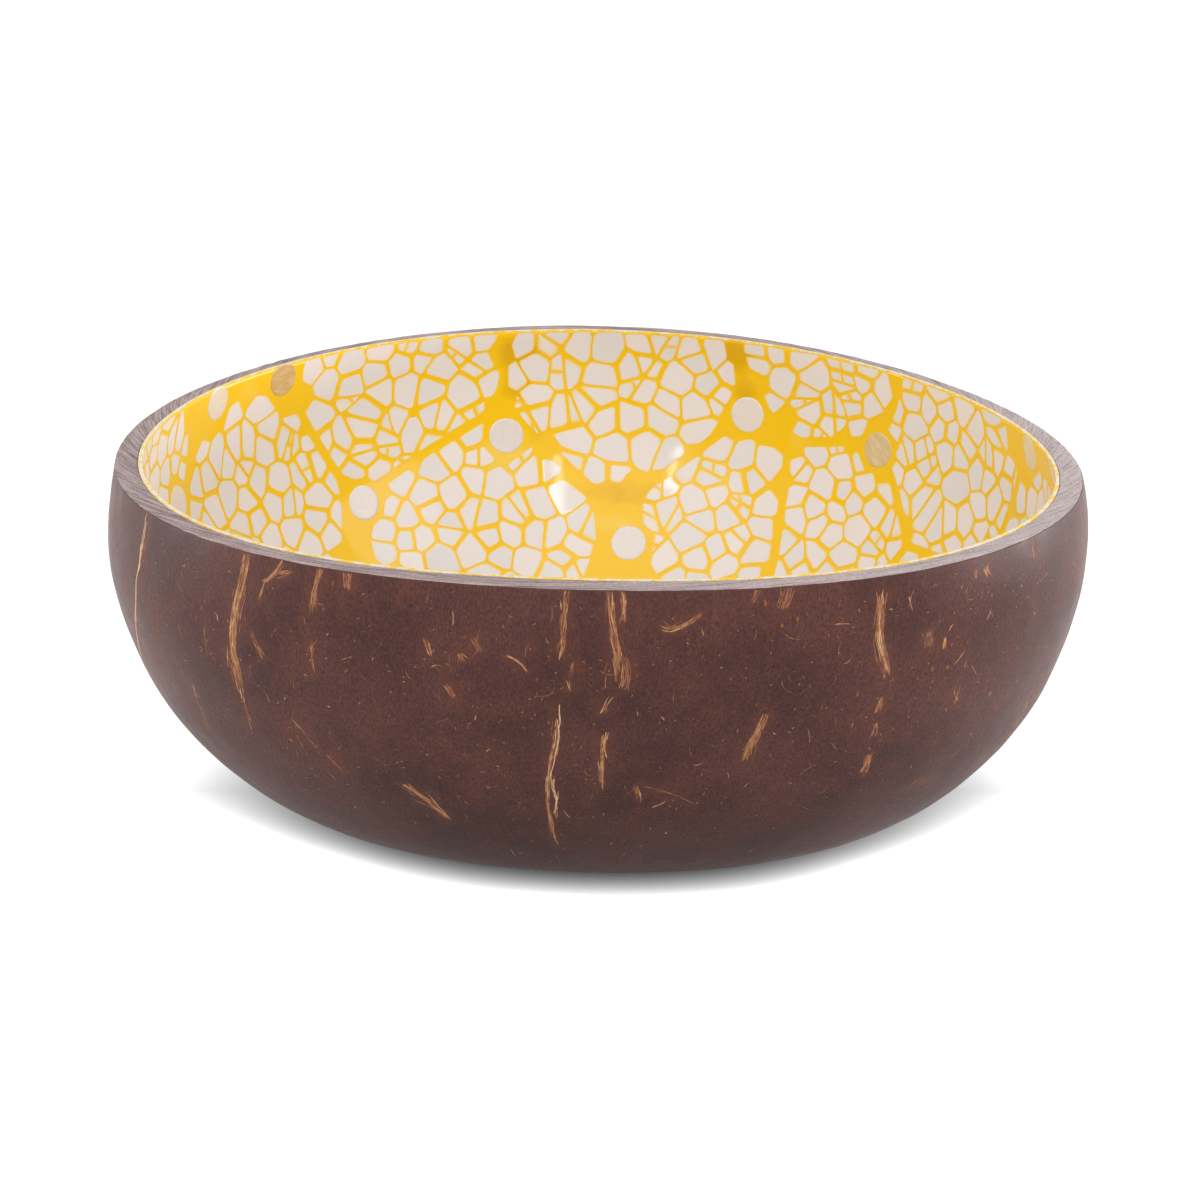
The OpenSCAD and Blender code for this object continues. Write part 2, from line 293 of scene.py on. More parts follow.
def fibreMaterial():
    # coir fibre left in the shell and sanded flush: tan to straw, darker where oil soaked in
    look = {"gap": "#2C1712", "oiled": "#633520", "rust": "#945A35", "tan": "#B98352", "straw": "#DDB88E",
            "patch": 1.3 * mm}
    material, tree = newMaterial("sanded_coir_fibre")
    tone = addNode(tree, "Attribute", {"attribute_name": "fibreTone"})["Fac"]
    place = addNode(tree, "TexCoord")["Object"]
    patchy = addNode(tree, "TexNoise", {"Scale": 1 / look["patch"], "Detail": 4, "Roughness": 0.7},
                     {"Vector": place})[0]
    value = addNode(tree, "Math", {"operation": "MULTIPLY_ADD", 1: 0.7, 2: -0.35}, {0: patchy})[0]
    value = addNode(tree, "Math", {"operation": "ADD", "use_clamp": True}, {0: value, 1: tone})[0]
    stops = [(0.04, look["gap"]), (0.22, look["oiled"]), (0.45, look["rust"]), (0.7, look["tan"]),
             (1, look["straw"])]
    colour = addNode(tree, "ValToRGB", {"stops": stops}, {0: value})[0]
    return endMaterial(material, {"IOR": 1.5, "Roughness": 0.62}, {"Base Color": colour},
                       patchy, (0.4, 0.05 * mm))


def lacquerMaterial():
    # pigmented lacquer, rubbed level and clear-coated: saturated warm yellow, deeper where it lies thick
    # and where painted shade is laid, and chalky where it is thin; index of the clear coat 1.5
    look = {"yellow": "#F5C700", "thin": "#F4CE48", "deep": "#DFAE00", "edge": "#E8DDC2",
            "cloud": 7 * mm, "fine": 0.5 * mm, "lipLine": 1.6 * mm}
    material, tree = newMaterial("yellow_lacquer")
    place = addNode(tree, "TexCoord")["Object"]
    cloud = addNode(tree, "TexNoise", {"Scale": 1 / look["cloud"], "Detail": 4, "Roughness": 0.6},
                    {"Vector": place})[0]
    fine = addNode(tree, "TexNoise", {"Scale": 1 / look["fine"], "Detail": 2}, {"Vector": place})[0]
    # the lacquer's depth, which along the arc under the back eggshell field also carries painted shade
    depth = addNode(tree, "Attribute", {"attribute_name": "lacquerDepth"})["Fac"]
    ragged = addNode(tree, "Math", {"operation": "MULTIPLY_ADD", 1: 0.5, 2: -0.25}, {0: cloud})[0]
    depthAndShadeShare = addNode(tree, "Math", {"operation": "ADD"}, {0: depth, 1: ragged})[0]
    stops = [(0.22, look["thin"]), (0.4, look["yellow"]), (0.62, look["yellow"]), (0.9, look["deep"])]
    colour = addNode(tree, "ValToRGB", {"stops": stops}, {0: depthAndShadeShare})[0]
    # ragged pale cream line where the lining ends at the sawn rim
    below = addNode(tree, "Attribute", {"attribute_name": "belowRim"})["Fac"]
    lipLine = addNode(tree, "TexNoise", {"Scale": 1 / look["lipLine"], "Detail": 5, "Roughness": 0.75},
                   {"Vector": place})[0]
    lipLineDepth = addNode(tree, "MapRange", {"range": (0.35, 0.68, -0.28, 0.48)}, {"Value": lipLine})[0]
    lipLineShare = addNode(tree, "Math", {"operation": "LESS_THAN"}, {0: below, 1: lipLineDepth})[0]
    colour = addNode(tree, "Mix", {"data_type": "RGBA", 7: look["edge"]}, {0: lipLineShare, 6: colour})[2]
    return endMaterial(material, {**clearCoat, "Roughness": 0.45, "Coat Roughness": 0.07},
                       {"Base Color": colour}, fine, (0.12, 0.05 * mm))


def eggshellMaterial():
    # duck eggshell under clear lacquer: matte off-white with fine pores, stained tan and then
    # yellow where lacquer laps over the broken edges; calcite index 1.5 with a gloss coat
    look = {"shell": "#E9E3E4", "cool": "#DFDEE2", "tan": "#ECD89C", "yellow": "#F2C41C", "pore": "#CDBFAE",
            "fine": 0.35 * mm, "soft": 2.5 * mm}
    material, tree = newMaterial("eggshell_under_lacquer")
    place = addNode(tree, "TexCoord")["Object"]
    tone = addNode(tree, "Attribute", {"attribute_name": "chipTone"})["Fac"]
    edge = addNode(tree, "Attribute", {"attribute_name": "edgeTint"})["Fac"]
    fine = addNode(tree, "TexNoise", {"Scale": 1 / look["fine"], "Detail": 3, "Roughness": 0.7},
                   {"Vector": place})[0]
    soft = addNode(tree, "TexNoise", {"Scale": 1 / look["soft"], "Detail": 2}, {"Vector": place})[0]
    ragged = addNode(tree, "Math", {"operation": "MULTIPLY_ADD", 1: 0.5, 2: -0.25}, {0: fine})[0]
    cloudy = addNode(tree, "Math", {"operation": "MULTIPLY_ADD", 1: 0.7, 2: -0.35}, {0: soft})[0]
    uneven = addNode(tree, "Math", {"operation": "ADD"}, {0: ragged, 1: cloudy})[0]
    edgeShare = addNode(tree, "Math", {"operation": "MULTIPLY_ADD"}, {0: edge, 1: uneven, 2: edge})[0]
    colour = addNode(tree, "Mix", {"data_type": "RGBA", 6: look["shell"], 7: look["cool"]}, {0: tone})[2]
    for tint, source, spread in (("pore", fine, (0.6, 0.8, 0, 0.35)), ("tan", edgeShare, (0.15, 0.7, 0, 1)),
                                 ("yellow", edgeShare, (0.5, 0.95, 0, 1))):
        share = addNode(tree, "MapRange", {"range": spread}, {"Value": source})[0]
        colour = addNode(tree, "Mix", {"data_type": "RGBA", 7: look[tint]}, {0: share, 6: colour})[2]
    return endMaterial(material, {**clearCoat, "Roughness": 0.5}, {"Base Color": colour},
                       soft, (0.1, 0.05 * mm))


def pearlMaterial():
    # mother of pearl ground flat under clear lacquer: banded, silky, each disc with its own hue
    # from silver-white through cream to honey
    look = {"silver": "#DDD8DA", "white": "#E6DFDB", "cream": "#E2D6B4", "honey": "#CDA768",
            "band": "#BBA57E", "fine": 0.3 * mm}
    material, tree = newMaterial("mother_of_pearl")
    place = addNode(tree, "TexCoord")["Object"]
    tone = addNode(tree, "Attribute", {"attribute_name": "pearlTone"})["Fac"]
    bands = addNode(tree, "Attribute", {"attribute_name": "pearlPlace"})["Vector"]
    growth = addNode(tree, "TexNoise", {"Scale": 1, "Detail": 4, "Roughness": 0.6, "Distortion": 0.6},
                     {"Vector": bands})[0]
    fine = addNode(tree, "TexNoise", {"Scale": 1 / look["fine"], "Detail": 2, "Roughness": 0.8},
                   {"Vector": place})[0]
    shift = addNode(tree, "Math", {"operation": "MULTIPLY_ADD", 1: 0.5, 2: -0.25}, {0: growth})[0]
    toneShare = addNode(tree, "Math", {"operation": "ADD"}, {0: tone, 1: shift})[0]
    stops = [(0.05, look["silver"]), (0.3, look["white"]), (0.6, look["cream"]), (0.9, look["honey"])]
    colour = addNode(tree, "ValToRGB", {"stops": stops}, {0: toneShare})[0]
    fineShare = addNode(tree, "MapRange", {"range": (0.55, 0.75, 0, 0.3)}, {"Value": fine})[0]
    colour = addNode(tree, "Mix", {"data_type": "RGBA", 7: look["band"]}, {0: fineShare, 6: colour})[2]
    return endMaterial(material, {**clearCoat, "IOR": 1.6, "Specular IOR Level": 0.3, "Roughness": 0.3},
                       {"Base Color": colour})


def studioMaterial():
    # matte paper sweep: lit white to the camera and to what mirrors it, with the bowl's shadow kept
    look = {"paper": "#E9E9E9", "seenPaper": "#666666", "near": 3.2 * mm, "more": 10 * mm,
            "mirrored": 40 * mm, "front": -30 * mm, "side": 6 * mm}
    material, tree = newMaterial("studio_paper")
    rays = addNode(tree, "LightPath")
    seen = rays["Is Camera Ray"]
    for kind in ("Is Glossy Ray", "Is Transmission Ray"):
        seen = addNode(tree, "Math", {"operation": "MAXIMUM"}, {0: seen, 1: rays[kind]})[0]
    # the key light fills the shadow in front, and it grows wider towards the back
    place = addNode(tree, "TexCoord")["Object"]
    depth = addNode(tree, "SeparateXYZ", {}, {0: place})[1]
    back = addNode(tree, "MapRange", {"range": (look["front"], look["side"], 0, 1)}, {"Value": depth})[0]
    back = addNode(tree, "Math", {"operation": "POWER", 1: 2}, {0: back})[0]
    reach = addNode(tree, "Math", {"operation": "MULTIPLY_ADD", 1: look["more"], 2: look["near"]},
                    {0: back})[0]
    reach = addNode(tree, "Mix", {2: look["mirrored"]}, {0: rays["Is Camera Ray"], 3: reach})[0]
    clear = addNode(tree, "AmbientOcclusion", {"samples": 24}, {"Distance": reach})["AO"]
    lift = addNode(tree, "Math", {"operation": "MULTIPLY"}, {0: seen, 1: clear})[0]
    colour = addNode(tree, "Mix", {"data_type": "RGBA", 6: look["paper"], 7: look["seenPaper"]}, {0: seen})[2]
    paper = addNode(tree, "BsdfDiffuse", {}, {"Color": colour})[0]
    glow = addNode(tree, "Emission", {"Color": "#FFFFFF"}, {"Strength": lift})[0]
    both = addNode(tree, "AddShader", {}, {0: paper, 1: glow})[0]
    addNode(tree, "OutputMaterial", {}, {"Surface": both})
    return material


# Coconut shell

def makeShell():
    settings = {
        "rimFaceDepth": 3 * mm, "faceUp": 0.9, "faceUpRounded": 0.55, "edgeRound": 0.2 * mm,
        "smoothLevels": 2, "rimCuts": 2,
        # size and height of the waves that sanding leaves, and where they come in: share of the
        # normal that points out and up, height over the table
        "waves": [(22 * mm, 0.35 * mm), (6 * mm, 0.10 * mm), (1.9 * mm, 0.045 * mm)],
        "outward": (0.2, 0.5), "upShare": 0.6, "clearOfTable": (0.3 * mm, 4 * mm),
        # the two sides swell between these heights
        "leftSwell": 1.0 * mm, "rightSwell": 0.6 * mm, "swellFoot": (9 * mm, 24 * mm),
        "swellTop": (51 * mm, 38 * mm),
        # layers of the sawn face, and the side of the rim that is made paler
        "layerWidth": 0.32 * mm, "layerLength": 7 * mm, "layerSlant": -0.35, "layerHeight": 0.1 * mm,
        "layerLevel": 0.2, "across": (0.7, 0, 0.7), "paleSide": 350,
    }
    piece = copyNode("coconut_shell", "sanded_shell", [sandedShellMaterial(), sawnRimMaterial()])
    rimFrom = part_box("coconut_shell")[1].z - settings["rimFaceDepth"]
    openMesh(piece)
    bpy.ops.mesh.tris_convert_to_quads(face_threshold=math.radians(40), shape_threshold=math.radians(60))
    bpy.ops.mesh.dissolve_limited(angle_limit=math.radians(0.02))
    bpy.ops.mesh.select_mode(type="FACE")
    pickFaces(piece, lambda face: face.normal.z > settings["faceUp"] and face.center.z > rimFrom)
    bpy.ops.mesh.region_to_loop()
    bpy.ops.mesh.bevel(offset=settings["edgeRound"], segments=2, affect="EDGES")
    bpy.ops.object.mode_set(mode="OBJECT")
    for face in piece.data.polygons:
        face.material_index = int(face.normal.z > settings["faceUpRounded"] and face.center.z > rimFrom)
    subdivideSmoothly(piece, settings["smoothLevels"])
    pickFaces(piece, lambda face: face.material_index == 1)
    bpy.ops.mesh.subdivide(number_cuts=settings["rimCuts"], smoothness=0)
    bpy.ops.object.mode_set(mode="OBJECT")
    # sanding leaves shallow unevenness on the outer skin only, and none under the flat; the nut
    # swells a little more at its two sides, the left one most
    outside = piece.vertex_groups.new(name="outside")
    swells = []
    for vertex in piece.data.vertices:
        out = roundVector(azimuthOf(vertex.co), 1)
        outward = vertex.normal.dot(out) - settings["upShare"] * vertex.normal.z
        height = vertex.co.z
        weight = smoothStep(*settings["outward"], outward) * smoothStep(*settings["clearOfTable"], height)
        outside.add([vertex.index], weight, "REPLACE")
        swell = settings["leftSwell"] if out.x < 0 else settings["rightSwell"]
        swell *= smoothStep(*settings["swellFoot"], height) * smoothStep(*settings["swellTop"], height)
        swells.append(out * swell * out.x * out.x * weight)
    for vertex, swell in zip(piece.data.vertices, swells):
        vertex.co += swell
    for size, height in settings["waves"]:
        texture = bpy.data.textures.new("sanding", type="CLOUDS")
        texture.noise_scale = size
        applyModifier(piece, "DISPLACE", {"texture": texture, "strength": height, "mid_level": 0.5,
                                          "vertex_group": "outside"})
    # the sawn face shows the layers of the shell as fine ridges round the rim
    rimVertices = {v for face in piece.data.polygons if face.material_index == 1 for v in face.vertices}
    places, dust = [], []
    for vertex in piece.data.vertices:
        radius, azimuth = vertex.co.xy.length, azimuthOf(vertex.co)
        layer = (radius + settings["layerSlant"] * vertex.co.y) / settings["layerWidth"]
        place = roundVector(azimuth, radius / settings["layerLength"]) + Vector(settings["across"]) * layer
        places.append(place)
        # how much paler each point of the rim is made, most at the pale side
        dust.append(roundVector(azimuth - settings["paleSide"], 1).x)
        if vertex.index in rimVertices:
            vertex.co.z += settings["layerHeight"] * (noise.noise(place) - settings["layerLevel"])
    pointValues(piece, "rimPlace", "FLOAT_VECTOR", places)
    pointValues(piece, "rimDust", "FLOAT", dust)
    smoothFaces(piece)
    finishPiece(piece, "coconut_shell", "coconut_shell")
    print("shell:", len(piece.data.polygons), "faces")
    return piece


shell = makeShell()
shellTree = treeOf(shell)


def onShell(azimuth, height):
    # point and normal of the outer skin at an angle and a height, or at its rim if that is lower
    out = roundVector(azimuth, 1)
    while True:
        hit, normal, _, _ = shellTree.ray_cast(out * farOut + Vector((0, 0, height)), -out)
        if hit and hit.dot(out) > 0:
            return hit, normal
        height -= searchStep


# Fibres in the skin

def alongPath(path, share):
    # point of a smooth line through the points of a path
    spot = share * (len(path) - 1)
    k = min(int(spot), len(path) - 2)
    t = spot - k
    a, b, c, d = (Vector(path[min(max(k + i, 0), len(path) - 1)]) for i in (-1, 0, 1, 2))
    bend, slope = 2 * a - 5 * b + 4 * c - d, 3 * b - a - 3 * c + d
    return 0.5 * (2 * b + (c - a) * t + bend * t * t + slope * t ** 3)


def lengthOf(path):
    return sum((Vector(b) - Vector(a)).length for a, b in zip(path, path[1:]))


strand = {
    # how soon a strand is at full width, the width of its tip and the roundness of its taper
    "fullness": 2.4, "tip": 0.05, "taper": 0.7, "leastHalf": 0.012,
    # its width and tone change along it: mean and change of the width, change of the tone
    "meanWidth": 0.8, "widthChange": 0.7, "toneChange": 0.3, "tonePace": 0.4, "drift": (0, 500),
    "ahead": 0.1,
}


def addFibre(parts, points, width, tone, settings, rng):
    # a flat closed spindle, sunk in the skin with its back showing; points are distance round the
    # bowl and height, in mm
    vertices, faces, tones = parts
    start, drift, last = len(vertices), rng.uniform(*strand["drift"]), len(points) - 1
    for i, point in enumerate(points):
        taper = min(1, math.sin(math.pi * i / last) * strand["fullness"] + strand["tip"]) ** strand["taper"]
        ragged = noise.noise(Vector((drift, 40, i * settings["ragged"])))
        ragged = strand["meanWidth"] + strand["widthChange"] * ragged
        half = max(width / 2 * ragged * taper, strand["leastHalf"])
        here, normal = onShell(point.x / settings["arc"], point.y * mm)
        way = (points[min(i + 1, last)] - points[max(i - 1, 0)]) * strand["ahead"]
        ahead, _ = onShell((point.x + way.x) / settings["arc"], (point.y + way.y) * mm)
        side = normal.cross(ahead - here).normalized() * half * mm
        lift = normal * (settings["lift"] + settings["toneLift"] * tone) * taper
        edge, depth = here - lift / 2, normal * settings["sink"]
        vertices += [edge + side, here + lift, edge - side, here - depth]
        ownTone = tone + strand["toneChange"] * noise.noise(Vector((drift, i * strand["tonePace"], 90)))
        tones += [ownTone] * 4
        if i:
            a, b = start + 4 * (i - 1), start + 4 * i
            faces += [(a + j, a + (j + 1) % 4, b + (j + 1) % 4, b + j) for j in range(4)]
    faces += [(start + 3, start + 2, start + 1, start), tuple(start + 4 * last + j for j in range(4))]


def fibrePiece(name, material, parts):
    mesh = bpy.data.meshes.new(name)
    mesh.from_pydata(parts[0], [], parts[1])
    piece = startPiece(name, mesh, [material])
    pointValues(piece, "fibreTone", "FLOAT", parts[2])
    openMesh(piece)
    bpy.ops.mesh.normals_make_consistent(inside=False)
    bpy.ops.object.mode_set(mode="OBJECT")
    smoothFaces(piece)
    finishPiece(piece, "coconut_shell")
    print(name + ":", len(piece.data.polygons), "faces")
    return piece


def bundleFibres(parts, bundle, settings, rng):
    # whole strands with many short ones torn across and beside them, dark gaps among pale backs
    path, width, tone, strands = bundle
    path = [Vector((a * settings["arc"], h)) for a, h in path]
    cutByRim = path[0].y > settings["cutByRim"]
    if cutByRim:  # the saw cut these through, so they start just under the rim
        rim, _ = onShell(path[0].x / settings["arc"], settings["overRim"])
        path[0].y = rim.z / mm - settings["rimShort"]
    length = lengthOf(path)
    steps = max(4, round(length / settings["step"]))
    beds = round(width / settings["bedWidth"]) if width > settings["bedFrom"] else 0
    for number in range(beds + strands):
        isBed = number < beds
        count, place = (beds, number) if isBed else (strands, number - beds)
        offset = (place - (count - 1) / 2) * width / max(count, settings["leastCount"])
        drift = rng.uniform(*strand["drift"])
        begin, end = rng.uniform(*settings["begins"]), rng.uniform(*settings["ends"])
        if cutByRim:
            begin *= settings["cutBegin"]
        points = []
        for i in range(steps + 1):
            share = begin + (end - begin) * i / steps
            wobble = noise.noise(Vector((drift, share * length * settings["wobblePace"], 0)))
            points.append(alongPath(path, share) + Vector((offset + wobble * settings["wobble"], 0)))
        ownWidth = settings["bedWidth"] * settings["bedLap"] if isBed else settings["strandWidth"]
        ownWidth *= rng.uniform(*settings["widthSpread"])
        ownTone = tone * settings["bedTone"] if isBed else tone
        addFibre(parts, points, ownWidth, ownTone + rng.uniform(*settings["toneSpread"]), settings, rng)
    for _ in range(round(length * width * settings["perArea"])):
        reach = min(rng.uniform(*settings["shortLength"]), length) / length
        middle = rng.uniform(reach / 2, 1 - reach / 2)
        offset = rng.gauss(0, width * settings["beside"])
        lean = rng.gauss(0, settings["lean"] + settings["shortLean"] / length)
        count = max(4, round(reach * length / settings["step"]) + 1)
        points = []
        for i in range(count):
            share = middle + reach * (i / (count - 1) - 0.5)
            nextShare, lastShare = min(share + settings["probe"], 1), max(share - settings["probe"], 0)
            way = alongPath(path, nextShare) - alongPath(path, lastShare)
            side = Vector((way.y, -way.x)).normalized()
            points.append(alongPath(path, share) + side * (offset + lean * (share - middle) * length))
        kind = rng.random()
        if kind < settings["darkShare"]:
            ownTone = rng.uniform(*settings["darkTone"])
        elif kind < settings["oiledShare"]:
            ownTone = tone * rng.uniform(*settings["oiledTone"])
        else:
            ownTone = tone + rng.uniform(*settings["paleTone"])
        addFibre(parts, points, rng.uniform(*settings["shortWidth"]), ownTone, settings, rng)


def makeFibres():
    settings = {
        # lengths are in mm here, but for the heights over the skin; arc is the bowl's mm to a degree
        "seed": 11, "step": 0.5, "arc": 1.13, "ragged": 0.9, "lift": 0.012 * mm, "toneLift": 0.03 * mm,
        "sink": 0.15 * mm, "stainReach": 1.1 * mm,
        # whole strands, side by side on a darker bed where the bundle is wide
        "strandWidth": 0.24, "bedWidth": 0.3, "bedLap": 1.5, "bedFrom": 0.55, "bedTone": 0.62,
        "leastCount": 1.5, "begins": (0, 0.12), "ends": (0.85, 1), "widthSpread": (0.8, 1.3),
        "toneSpread": (-0.1, 0.1), "wobble": 0.3, "wobblePace": 0.35,
        # bundles that begin above this height were cut through by the saw
        "cutByRim": 52.6, "cutBegin": 0.1, "overRim": 56 * mm, "rimShort": 0.3,
        # short torn ones, the first of them dark gaps, most oiled and the rest pale
        "perArea": 2.6, "shortLength": (1.0, 4.5), "shortWidth": (0.1, 0.3), "beside": 0.36, "lean": 0.09,
        "shortLean": 0.5, "probe": 0.02, "darkShare": 0.3, "darkTone": (0, 0.12), "oiledShare": 0.85,
        "oiledTone": (0.5, 0.9), "paleTone": (0, 0.25),
        # the far side, which the photograph doesn't show, gets bundles of the same kind
        "farAngles": range(8, 186, 9), "farStray": (-4, 4), "farTops": (30, 53),
        "farLengths": (2, 4, 7, 12, 24), "farWidths": (0.4, 0.7, 1.2), "farTones": (0.45, 0.8),
        "farStrands": (0, 1, 1, 2), "lowest": 6,
        # paths run through points of angle in degrees and height in mm, then width, tone, strands
        "bundles": [
            ([(205, 53.2), (204.7, 49), (203.4, 43.7), (202, 38.7), (197.5, 31), (194, 26)], 0.3, 1.05, 2),
            ([(205.4, 53), (205.3, 50), (204.4, 46)], 0.5, 0.6, 0),
            ([(224.2, 53), (223.7, 49), (222.7, 45), (222.1, 40), (221.9, 36), (221.5, 31)], 1.25, 0.66, 2),
            ([(223.4, 50), (222.6, 45), (222, 41), (222.3, 38)], 0.5, 0.95, 1),
            ([(221.9, 33), (221.4, 29), (220.9, 26)], 0.5, 0.5, 1), ([(224.3, 38), (223, 33)], 0.4, 0.4, 0),
            ([(227.2, 50.9), (226.3, 47.6)], 0.45, 0.6, 1),
            ([(229.3, 52.7), (228.4, 52), (226.9, 50.3)], 0.7, 0.75, 1),
            ([(230.6, 52.6), (229.6, 52.2), (228.6, 51.8)], 0.9, 0.75, 0),
            ([(234.6, 53), (234.1, 50.7), (233.8, 47.2)], 0.75, 0.62, 1),
            ([(234.3, 43.5), (233.5, 41.5), (233.6, 38)], 0.45, 0.6, 1),
            ([(238, 52.8), (238.5, 51.2)], 0.9, 0.6, 0),
            ([(217.5, 42.6), (217.5, 39.5), (217, 36.2)], 0.35, 0.45, 0),
            ([(212.3, 31), (212, 27.6), (211, 23)], 0.45, 0.55, 0),
            ([(225, 43), (226, 40.6), (226.6, 39)], 0.5, 0.55, 0),
            ([(248.4, 45.8), (249.1, 43.2)], 0.7, 0.6, 0), ([(249.4, 42.6), (250.2, 40)], 0.3, 0.4, 0),
            ([(250.6, 39.2), (251.6, 37)], 0.7, 0.6, 0), ([(252.6, 44), (253.2, 42.6)], 0.6, 0.62, 0),
            ([(266, 53), (265.7, 50.4), (265.5, 46.7), (265.1, 43.6)], 0.8, 0.6, 1),
            ([(266.7, 43.6), (266.5, 41), (266.3, 38.6)], 0.6, 0.45, 0),
            ([(265.1, 37.8), (264.9, 34.5), (264.6, 30.4), (263.6, 25.4), (263.9, 21), (263.7, 17)],
             0.4, 0.9, 1),
            ([(264.7, 35.2), (264.2, 30.8), (263.4, 27), (262.8, 21.5), (262.9, 16), (263.3, 11.6)],
             0.6, 0.72, 1),
            ([(271.3, 53.2), (271.5, 50), (271.9, 47), (272.2, 43.5), (272.1, 40.6)], 1.1, 0.66, 2),
            ([(272.9, 53.2), (273, 51.2), (273.1, 49)], 0.6, 0.6, 1),
            ([(272.9, 44.6), (273.5, 42), (273.1, 39.2)], 1.1, 0.6, 1),
            ([(271.1, 38.4), (271, 35.6)], 0.6, 0.45, 0),
            ([(271, 32.8), (270.5, 30.2), (270.4, 27), (270.4, 22.6)], 0.75, 0.7, 1),
            ([(269, 23.8), (269, 20.4)], 0.5, 0.5, 0), ([(275, 23.8), (275.6, 21.4)], 0.6, 0.7, 0),
            ([(275.4, 23.8), (278, 23.1), (281, 21.8), (283.5, 20.2)], 0.2, 0.35, 1),
            ([(277.3, 49.2), (278.5, 48.4), (280, 48.7), (281.5, 49.6), (282.6, 50.6)], 0.7, 0.65, 0),
            ([(290.6, 35.2), (290, 32.5), (289.1, 29.9), (288.9, 27)], 0.95, 0.74, 1),
            ([(293, 52.8), (292.5, 51.6), (291.9, 50.4)], 1.3, 0.56, 0),
            ([(304.5, 51.8), (304, 48.9), (303.9, 44.8), (304.8, 41.4), (305.3, 38.4)], 1.25, 0.72, 1),
            ([(305, 35.8), (304.8, 33.2)], 0.7, 0.7, 0), ([(305, 31.8), (305.2, 29.4)], 0.6, 0.7, 0),
            ([(305.2, 26.6), (305.6, 23)], 0.8, 0.62, 0),
            ([(242.4, 21.9), (245, 19.1), (247.5, 15.6)], 1.3, 0.78, 1),
            ([(228.5, 30.4), (230, 27.9), (231.5, 25.6)], 0.3, 0.38, 1),
            ([(232.2, 25.2), (234, 22.4)], 0.5, 0.5, 0),
            ([(335.6, 31), (334.6, 27), (334.4, 22), (335.4, 17)], 0.4, 0.5, 1),
            ([(326.5, 45.4), (328, 41.8)], 0.4, 0.5, 0), ([(318.6, 51.8), (319.2, 50)], 0.9, 0.8, 0),
            ([(317.2, 51.8), (316.9, 50.4)], 0.6, 0.7, 0), ([(309.8, 44.8), (310.4, 42.2)], 1.5, 0.4, 0),
            ([(312.6, 43.2), (312.4, 41.4)], 0.6, 0.95, 0), ([(316, 20.2), (314.6, 17.6)], 0.4, 0.5, 0),
            ([(317.5, 20.6), (316.3, 18)], 0.4, 0.5, 0), ([(315.5, 34.6), (316.4, 32)], 0.6, 0.65, 0),
            ([(254.4, 46.4), (255.2, 44.2)], 1.0, 0.5, 0),
            ([(258.4, 44.2), (260, 43.4), (261.3, 41.6)], 0.55, 0.74, 1),
            ([(261, 46.4), (261, 43.7)], 0.3, 0.35, 0), ([(251, 43.7), (251.6, 41)], 0.35, 0.4, 0),
            ([(289, 53), (288.4, 51.4)], 0.6, 0.5, 0), ([(327.5, 53), (327.9, 50)], 0.5, 0.6, 0),
        ],
    }
    rng = random.Random(settings["seed"])
    bundles = list(settings["bundles"])
    for azimuth in settings["farAngles"]:
        place, top = azimuth + rng.uniform(*settings["farStray"]), rng.uniform(*settings["farTops"])
        length = min(rng.choice(settings["farLengths"]), top - settings["lowest"])
        path = [(place + rng.uniform(-1, 1), top - length * share) for share in (0, 0.35, 0.7, 1)]
        bundles.append((path, rng.choice(settings["farWidths"]), rng.uniform(*settings["farTones"]),
                        rng.choice(settings["farStrands"])))
    parts = ([], [], [])
    for bundle in bundles:
        bundleFibres(parts, bundle, settings, rng)
    piece = fibrePiece("shell_fibres", fibreMaterial(), parts)
    # the stain reaches a little past the fibres
    near = treeOf(piece)
    reach = settings["stainReach"]
    stains = []
    for vertex in shell.data.vertices:
        found = near.find_nearest(vertex.co, reach)
        stains.append(smoothStep(reach, 0, found[3]) if found[0] else 0.0)
    pointValues(shell, "fibreStain", "FLOAT", stains)


